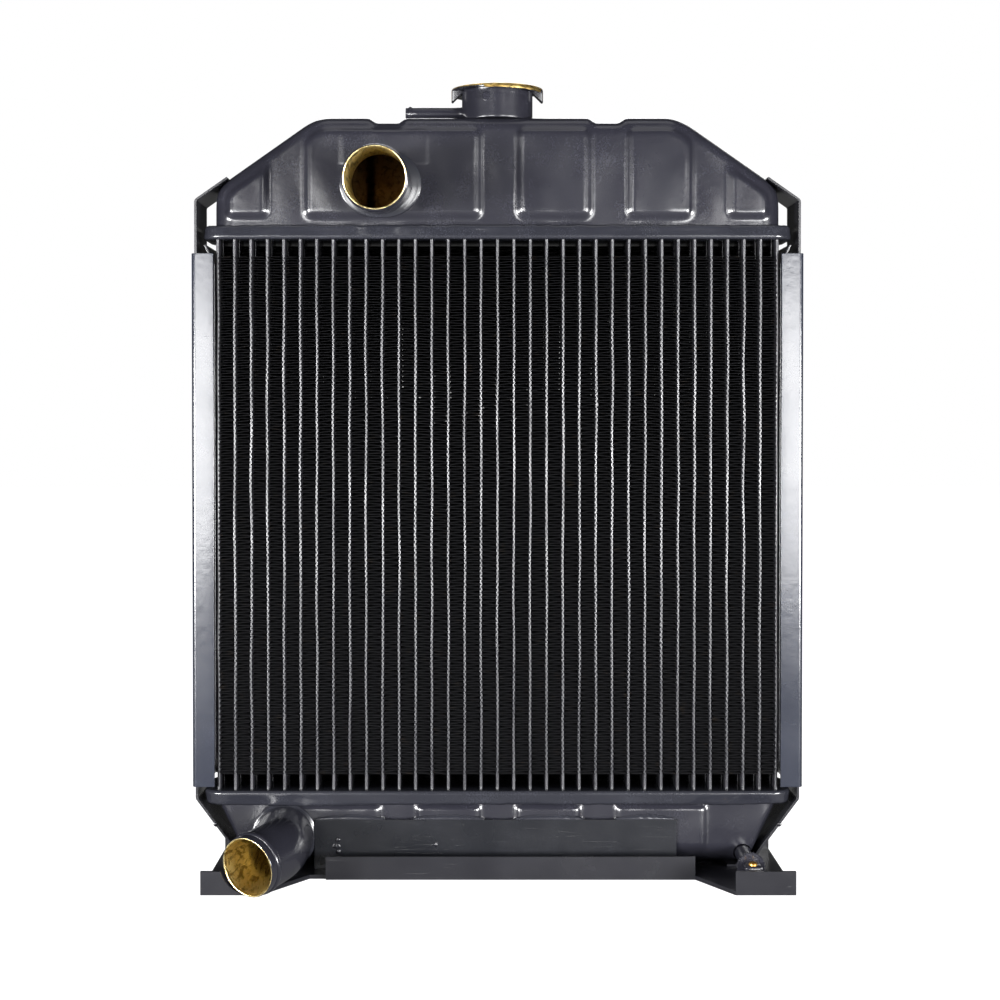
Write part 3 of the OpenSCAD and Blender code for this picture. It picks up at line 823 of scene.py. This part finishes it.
def dressed(node, material, width=0.5):
    """A CAD node whose shape is right: its edges are broken and it gets its paint."""
    obj = frame["nodes"][node]
    obj.data.materials.clear()
    obj.data.materials.append(material)
    weld = obj.modifiers.new("weld", "WELD")
    weld.merge_threshold = 0.00001
    flat = obj.modifiers.new("flat", "DECIMATE")
    flat.decimate_type = "DISSOLVE"
    flat.angle_limit = math.radians(0.5)
    edged(obj, width, angle=40)
    obj.modifiers["edges"].segments = 3


# ---- Front plate ----

def front_plate():
    """Flat apron before the lower tank, welded to the tray, slightly buckled."""
    low, high = corners("front_plate")
    t = high[1] - low[1]
    y = (low[1] + high[1]) / 2
    spans = np.linspace(low[0], high[0], 90)
    middle = np.array([(y, z) for z in np.linspace(low[2], high[2], 9)])
    outline = np.concatenate([middle - (t / 2, 0), (middle + (t / 2, 0))[::-1]])
    rings = np.array([[(x, a, b) for a, b in outline] for x in spans])
    buckle = 0.14 * (ripple(rings[:, :, 0], rings[:, :, 2], 55, 41) - 1)
    rings[:, :, 1] = np.clip(rings[:, :, 1] - buckle * 0.5, low[1], high[1])
    edged(piece("front_apron", loft(rings), [APRON_BLACK], ["front_plate"]), 0.3)


def solder_bead(x0, x1, z, y0, y1, rise, seed):
    """A crescent of solder along the apron's top edge, thickest in its middle."""
    rings = []
    around = np.radians(np.linspace(0, 360, 13)[:-1])
    least = 0.12
    for x in np.linspace(x0, x1, 40):
        t = (x - x0) / (x1 - x0)
        swell = math.sin(math.pi * t) ** 0.6 + 0.02
        bulge = 1 + 0.12 * ripple(x, 0, 6, seed)
        ry = (y1 - y0) / 2
        rz = max(least, rise * swell * bulge)
        rings.append([(x, (y0 + y1) / 2 - ry * math.cos(a), z + rz * math.sin(a)) for a in around])
    return loft(rings)


def solder():
    """Solder where the apron meets the tank's panels, over the outlet's collar and beside it."""
    low, high = corners("front_plate")
    top = high[2] + 0.2
    front, back, rise = low[1] + 0.2, -recess_face + 0.5, 3.0
    runs = [(-113.0, -70.0), (-52.0, -8.0), (10.0, 54.0), (72.5, 110.0)]
    shapes = [solder_bead(a, b, top, front, back, rise, i) for i, (a, b) in enumerate(runs)]
    piece("apron_solder", joined(*shapes), [SEAM_BLACK], sharp=80)


def blob(centre, size, seed):
    """A small lump of weld or solder."""
    rings = []
    steps, sides = 9, 14
    around = np.linspace(0, math.tau, sides + 1)[:-1]
    for i in range(1, steps):
        a = math.pi * i / steps
        lump = 1 + 0.22 * ripple(around * 3, a * 3, 4, seed)
        rings.append(xyz(centre[0] + size[0] * math.sin(a) * np.cos(around) * lump,
                         centre[1] + size[1] * math.sin(a) * np.sin(around) * lump,
                         centre[2] + size[2] * math.cos(a)))
    return loft(rings)


def welds():
    """Spot welds between the apron and the tray, and one on each strap."""
    face = corners("front_plate")[0][1]
    spots = ((-99.6, 16.6, 2.6), (-99.0, 20.5, 1.5), (-98.4, 13.2, 1.8), (-38.0, 17.5, 1.2))
    shapes = [blob((x, face + 0.1, z), (half_w, 0.7, 1.7), seed=50 + i)
              for i, (x, z, half_w) in enumerate(spots)]
    strap_front = corners("left_strap")[0][1]
    strap_spot_x, strap_spot_z = 175.2, 29.0
    for side in (-1, 1):
        spot = (side * strap_spot_x, strap_front - 0.1, strap_spot_z)
        shapes.append(blob(spot, (1.4, 0.8, 1.5), seed=60 + side))
    piece("weld_spots", joined(*shapes), [STEEL_BLACK], sharp=80)


# ---- Hose necks ----

def outlet_root():
    """Centre of the outlet's hole in the tank's face."""
    low = corners("outlet_collar")[0]
    r = outlet_r + COLLAR
    return np.array([low[0] + r, -tank_face, low[2] + r])


def neck_profile(length, r, bends=()):
    """Rows (distance, radius) of a neck: outside from root to mouth, round the rim, and back inside.

    bends are further distances that need a row. Also gives the first bare row, and the first inside.
    """
    bead_back, bead_half = 7, 2.2  # the bead keeps a hose on
    bead_at = length - bead_back
    outside = [(d, r) for d in sorted([*np.linspace(0, bead_at - 2.6, 16), *bends])]
    swell = np.radians(np.linspace(-90, 90, 9))
    bead = [(bead_at - bead_half, r), *[(bead_at + 1.9 * math.sin(a), r + 0.9 * math.cos(a)) for a in swell],
            (bead_at + bead_half, r)]
    rim_r, rim_painted = SHEET / 2, 3  # the paint reaches over the rim's first rows
    rim = edge_arc((length - rim_r, r - rim_r), rim_r, 0, 180, steps=8)
    inside = [(d, r - SHEET) for d in sorted([*np.linspace(length - 2.0, 0, 16), *bends], reverse=True)]
    rows = outside + bead + rim
    return rows + inside, len(outside) + len(bead) + rim_painted, len(rows)


def neck(name, profile, centre, frame_at, replaced):
    """A hose neck swept along its path; it is painted outside, and bare on the rim and inside."""
    rows, first_bare, first_inside = profile
    angles = np.arange(NECK_SIDES) / NECK_SIDES * math.tau
    rings = []
    for distance, r in rows:
        across, up = frame_at(distance)
        around = np.outer(np.cos(angles), across) + np.outer(np.sin(angles), up)
        rings.append(centre(distance) + r * around)
    parts = np.zeros(len(rings) * NECK_SIDES, int)
    parts[first_bare * NECK_SIDES:] = 1
    parts[first_inside * NECK_SIDES:] = 2
    piece(name, ring_solid(rings), [BLACK, BRASS_RIM, BRASS_BORE], replaced,
          sharp=60, parts=parts)


def inlet():
    """Straight neck in the upper tank."""
    across = np.array([1.0, 0, 0])
    up = np.cross(inlet_axis, across)
    points = [np.array(v.co) / MM for v in frame["nodes"]["inlet_pipe"].data.vertices]
    reach = max((point - inlet_place) @ inlet_axis for point in points)
    mouth = inlet_place + inlet_axis * (reach - 0.02)
    back = corners("inlet_pipe")[1][1]
    short = 2.0  # the tube's root stops this far short of the node's
    length = abs((back - mouth[1]) / inlet_axis[1]) - short
    root = mouth - inlet_axis * length
    neck("inlet_neck_tube", neck_profile(length, inlet_r), lambda d: root + inlet_axis * d,
                lambda d: (across, up), ["inlet_pipe"])


def outlet():
    """Elbow in the lower tank: a stub straight forward, a bend to the lower left, and a straight leg."""
    inside, stub, leg = 3.0, 32.0, 21.0
    bend, angle = 30.0, math.radians(32)
    roll = math.radians(196)
    root = outlet_root()
    out = np.array([0, -1.0, 0])
    turn = np.array([math.cos(roll), 0, math.sin(roll)])
    side = np.cross(out, turn)

    def centre(distance):
        distance = distance - inside
        if distance <= stub:
            return root + out * distance
        a = min((distance - stub) / bend, angle)
        straight = distance - stub - a * bend
        spot = root + out * (stub + bend * math.sin(a)) + turn * bend * (1 - math.cos(a))
        return spot + straight * (out * math.cos(a) + turn * math.sin(a))

    def frame_at(distance):
        a = min(max((distance - inside - stub) / bend, 0), angle)
        return turn * math.cos(a) - out * math.sin(a), side

    bends = np.linspace(inside + stub, inside + stub + bend * angle, 14)
    length = inside + stub + bend * angle + leg
    profile = neck_profile(length, outlet_r, bends)
    neck("outlet_neck_elbow", profile, centre, frame_at, ["outlet_pipe"])


def collar(name, node, centre, radius, stretch, seed):
    """Ring of solder and sheet at the foot of a neck: oval at the tank, round at the neck."""
    low, high = corners(node)
    lift = high[1] - low[1]
    foot = high[1] + 0.02
    angles = np.linspace(0, math.tau, NECK_SIDES + 1)[:-1]
    c, s = np.cos(angles), np.sin(angles)
    squareness = 0.35  # under 1, the oval's ends are blunter
    blunt = np.sign(c) * np.abs(c) ** squareness
    profile = [(2.0, 0.0), (2.05, 0.35), (1.85, 0.85), (1.35, 1.15), (0.9, 1.3), (0.5, 1.55), (0.1, 2.0)]
    rings = []
    for grow, out in profile:
        oval = stretch * min(1.0, grow / 1.2)
        wave = 0.12 * ripple(c * 20, s * 20, 9, seed) * (grow > 0.3)
        r = radius + grow + wave
        rings.append(xyz(centre[0] + oval * blunt + r * c, foot - min(out, lift), centre[2] + r * s))
    inner = radius - 0.6
    for y in (foot - lift, high[1] + 0.4):
        rings.append(xyz(centre[0] + inner * c, y, centre[2] + inner * s))
    rings = np.array(rings)
    rings[:, :, (0, 2)] = np.clip(rings[:, :, (0, 2)], low[[0, 2]], high[[0, 2]])
    piece(name, ring_solid(rings), [SEAM_BLACK], [node], sharp=70)


def collars():
    """The inlet's oval collar, and the outlet's round one."""
    middle = centre_of("inlet_collar")
    stretch = corners("inlet_collar")[1][0] - middle[0] - inlet_r - COLLAR
    collar("inlet_collar_solder", "inlet_collar", middle, inlet_r, stretch, seed=5)
    collar("outlet_collar_solder", "outlet_collar", outlet_root(), outlet_r, 0.0, seed=6)


# ---- Filler ----

def filler_neck():
    """The filler's body: soldered foot, outer wall, bore, and the ledge that a cap seats on."""
    low, high = corners("filler_neck")
    r = -low[0]
    bore, seat = FILLER_BORE, 16.0
    h = high[2] - low[2]
    foot = edge_arc((0.5, r - 0.5), 0.5, -90, 0, steps=3)
    outside = [(0, r - 0.3), *foot, (1.5, r - 0.05), (h * 0.5, r - 0.02), (h - 0.3, r - 0.02), (h, r - 0.4)]
    inside = [(h, bore + 0.3), (h - 0.5, bore), (2.2, bore), (1.4, bore - 0.6)]
    ledge = [(1.25, seat + 1.1), (1.0, seat + 0.3), (0.5, seat), (0, seat + 0.2)]
    body = turned(outside + inside + ledge, (0, 0, low[2]), (0, 0, 1), sides=128)
    obj = piece("filler_body", body, [BLACK], ["filler_neck"], sharp=40)
    overflow_z = centre_of("overflow_tube")[2]
    cut(obj, (-r - 3, 0, overflow_z), (-bore + 3, 0, overflow_z), 2.9, sharp=40)
    stud_r, stud_length = 2.8, r * 0.2
    stud = [(0, 0.01), (0, 2.2), (0.5, 2.75), (stud_length, stud_r), (stud_length, 0.01)]
    stop = turned(stud, (-7, low[1] + 0.1, low[2] + 13), (0, 1, 0), sides=32)
    piece("filler_stop", stop, [BLACK], sharp=40)


def cam_flange():
    """Rolled flange: cam skirts in front and behind, an ear beside each, and the ring's inner lip."""
    low, high = corners("cam_flange")
    r_out, r_in = high[0], FILLER_BORE
    top = high[2]
    t = 1.2
    angles = np.radians(np.arange(0, 360, 2.0))
    degrees = (np.degrees(angles) + 180) % 180
    cam_start, cam_end, cam_low, cam_high = 72.0, 162.0, 2.6, 3.6
    ear_middle, half_ear, ear_ramp = 1, 9, 2.5
    ear = high[2] - low[2]
    along = (degrees - cam_start) / (cam_end - cam_start)
    in_cam = ease(along * 30) * ease((1 - along) * 30)
    depth = t + in_cam * (cam_low - t + (cam_high - cam_low) * np.clip(along, 0, 1))
    past = np.minimum(np.abs(degrees - 180 - ear_middle), np.abs(degrees - ear_middle))
    depth = np.maximum(depth, t + (ear - t) * ease((half_ear - past) / ear_ramp))
    rows = []
    for a, d in zip(angles, depth):
        bare = [(r_in, top - t), (r_in, top - 0.35), (r_in + 0.35, top), (r_out - 0.8, top),
                (r_out - 0.25, top - 0.22), (r_out, top - 0.8)]
        painted = [(r_out, top - d + 0.25), (r_out - 0.3, top - d), (r_out - t + 0.2, top - d),
                   (r_out - t, top - max(d - 0.3, t * 0.999))]
        rows.append([(r * math.cos(a), r * math.sin(a), z) for r, z in bare + painted])
    parts = np.tile([1] * len(bare) + [0] * len(painted), len(rows))
    piece("cam_flange_ring", ring_solid(rows), [BLACK, BRASS_FLANGE], ["cam_flange"],
          sharp=40, parts=parts)


def overflow_tube():
    """Small tube with a bead near its mouth."""
    low, high = corners("overflow_tube")
    z = centre_of("overflow_tube")[2]
    r, bore = 3.98, 2.8
    length = high[0] - low[0]
    bead_at = length - 3
    foot = [(0, bore), (0, r), (1.3, r + 0.2), (2.2, r)]
    outside = [(d, r) for d in np.linspace(4, bead_at - 1.3, 8)]
    swell = np.radians(np.linspace(-80, 80, 7))
    bead = [(bead_at + 1.1 * math.sin(a), r + 0.65 * math.cos(a)) for a in swell]
    mouth = [(bead_at + 1.4, r - 0.1), (length - 0.4, r - 0.1), (length, r - 0.5), (length, bore + 0.15),
             (length - 0.4, bore)]
    spout = turned(foot + outside + bead + mouth, (high[0], 0, z), (-1, 0, 0), sides=48)
    piece("overflow_spout", spout, [BLACK], ["overflow_tube"], sharp=40)


# ---- Drain ----

def drain():
    """Bush in the tank, its sealing washer, and the tap."""
    low, high = corners("drain_boss")
    forward = (0, -1, 0)
    x, _, z = centre_of("drain_boss")
    r, bore = high[0] - x, 3.1
    length = high[1] - low[1]
    profile = [(0, bore), (0, r - 0.3), (0.3, r), (length - 0.5, r), (length, r - 0.5), (length, bore + 0.3),
               (length - 0.4, bore)]
    bush = turned(profile, (x, high[1], z), forward, sides=48)
    piece("drain_bush", bush, [BLACK], ["drain_boss"], sharp=40)

    low, high = corners("drain_washer")
    t = high[1] - low[1]
    r, bore = high[0] - x, 3.3
    profile = [(0.05, bore), (0.05, r - 0.25), (0.3, r), (t - 0.3, r), (t - 0.05, r - 0.25), (t - 0.05, bore)]
    washer = turned(profile, (x, high[1], z), forward, sides=48)
    piece("drain_seal_ring", washer, [FIBRE], ["drain_washer"], body="drain_seal", sharp=40)
    drain_tap(x, z, low[1])


def drain_tap(x, z, seat):
    """The tap: threaded shank, knurled disc that seats on the washer, block for the fingers, and nub."""
    low, high = corners("drain_tap")
    sides = 112
    rim = high[0] - x
    end = -(high[1] - seat)
    thread_r, root_r, pitch = 3.0, 2.55, 1.5
    profile = [(end, 0.01), (end, 2.3), (end + 0.7, thread_r)]
    for i in range(9):
        at = -15.0 + pitch * i
        profile += [(at, thread_r), (at + 0.5, root_r), (at + 1.0, thread_r)]
    profile += [(0, thread_r), (0.02, rim - 0.5), (0.4, rim), (2.1, rim), (2.48, rim - 0.5)]
    profile += [(2.5, 4.1), (2.9, 3.7), (5.4, 3.5), (5.5, 0.01)]
    rows = lathe(profile, (x, seat, z), (0, -1, 0), sides)
    notch = 1 - 0.045 * (np.arange(sides) % 4 < 2)
    for k, (distance, r) in enumerate(profile):
        if r > rim - 0.6 and 0.2 < distance < 2.3:
            middle = rows[k].mean(axis=0)
            rows[k] = middle + (rows[k] - middle) * notch[:, None]
    body = ring_solid(rows)

    squareness = 0.3
    a = np.radians(np.arange(0, 360, 15))
    square_x = np.sign(np.cos(a)) * np.abs(np.cos(a)) ** squareness
    square_z = np.sign(np.sin(a)) * np.abs(np.sin(a)) ** squareness
    front = low[1]
    grip = [xyz(x + half_w * square_x, y, z + half_h * square_z)
            for y, half_w, half_h in ((seat - 5.3, 3.6, 2.3), (seat - 6.0, 5.0, 2.8), (seat - 6.8, 5.4, 3.0),
                                      (front + 1.2, 5.4, 3.0), (front + 0.4, 5.1, 2.7),
                                      (front + 0.05, 4.3, 2.1))]
    nub = [(0, 0.01), (0, 2.65), (3.8, 2.65), (4.7, 2.2), (5.25, 1.2), (5.38, 0.01)]
    knob = turned(nub, (x, seat - 10.5, z), (0, 0, 1), sides=32)
    tap = joined(knob, body, loft(grip))
    bare = len(knob[1])
    parts = [int(i >= bare) for i in range(len(tap[1]))]
    piece("drain_tap_grip", tap, [BRASS_TAP, BLACK], ["drain_tap"], body="drain_screw",
          sharp=35, parts=parts)


# ---- Stage ----

def floor():
    """A grey floor that looks white to the camera alone, so it adds little light from below."""
    mesh = bpy.data.meshes.new("floor")
    reach = 6.0
    mesh.from_pydata([(-reach, -reach, 0), (reach, -reach, 0), (reach, reach, 0), (-reach, reach, 0)], [],
                     [(0, 1, 2, 3)])
    obj = placed("floor", mesh)
    s = Surface("floor_white", (0.4, 0.4, 0.4), 0.9, specular=0.1)
    fill(s.shader, {"Emission Color": (1, 1, 1, 1)})
    seen = s.nodes.new("ShaderNodeLightPath").outputs["Is Camera Ray"]
    s.links.new(seen, s.shader.inputs["Emission Strength"])
    mesh.materials.append(s.material)


def softbox(name, place, aim, width, height, power):
    """A rectangular lamp that the camera doesn't see."""
    light = bpy.data.lights.new(name, "AREA")
    light.shape = "RECTANGLE"
    light.size = width
    light.size_y = height
    light.energy = power
    obj = placed(name, light)
    obj.location = place
    obj.rotation_mode = "QUATERNION"
    obj.rotation_quaternion = (Vector(aim) - Vector(place)).to_track_quat("-Z", "Y")
    obj.visible_camera = False


def backdrop(nodes, strength):
    """A white surround of the given strength."""
    node = nodes.new("ShaderNodeBackground")
    fill(node, {"Color": (1, 1, 1, 1), "Strength": strength})
    return node.outputs["Background"]


def studio():
    """Soft boxes round the object, in a white surround that only the camera sees at full brightness."""
    softbox("front_left_box", (-0.74, -2.2, 0.22), (-0.2, 0, 0.24), 0.62, 0.70, 33)
    softbox("front_right_box", (0.74, -2.2, 0.19), (0.2, 0, 0.24), 0.62, 0.72, 34)
    softbox("left_box", (-1.30, -1.2, 0.19), (0, 0, 0.22), 0.7, 0.32, 76)
    softbox("right_box", (1.30, -1.2, 0.19), (0, 0, 0.22), 0.7, 0.32, 76)
    softbox("top_box", (0, -0.4, 2.0), (0, 0, 0.3), 1.2, 0.8, 3)
    softbox("back_box", (0.2, 1.7, 1.5), (0, 0, 0.25), 1.4, 0.8, 16)
    world = bpy.data.worlds.new("surround")
    scene.world = world
    world.use_nodes = True
    nodes, links = world.node_tree.nodes, world.node_tree.links
    nodes.clear()
    out = nodes.new("ShaderNodeOutputWorld")
    mix = nodes.new("ShaderNodeMixShader")
    path = nodes.new("ShaderNodeLightPath")
    links.new(path.outputs["Is Camera Ray"], mix.inputs["Fac"])
    links.new(backdrop(nodes, 0.03), mix.inputs[1])
    links.new(backdrop(nodes, 1.0), mix.inputs[2])
    links.new(mix.outputs["Shader"], out.inputs["Surface"])


def camera():
    """In front of the core and a little over its middle, tipped one degree down."""
    data = bpy.data.cameras.new("camera")
    data.lens = 68.4
    data.sensor_width = 36
    data.shift_x = 0.018
    data.shift_y = -0.055
    obj = placed("camera", data)
    obj.location = (-0.0096, -1.2, 0.2855)
    obj.rotation_euler = (math.radians(89), 0, 0)
    scene.camera = obj
    scene.view_settings.view_transform = "Standard"


camera()
upper_tank()
lower_tank()
upper_header()
lower_header()
tube_row("front_tubes", seed=1)
tube_row("rear_tubes", seed=2)
fins()
for side, word in ((-1, "left"), (1, "right")):
    side_plate(f"{word}_side_plate", side)
    strap(f"{word}_strap", side)
    dressed(f"{word}_side_channel", STEEL_BLACK, width=0.4)
dressed("support_tray", STEEL_BLACK, width=0.7)
front_plate()
solder()
welds()
inlet()
outlet()
collars()
filler_neck()
cam_flange()
overflow_tube()
drain()
floor()
studio()
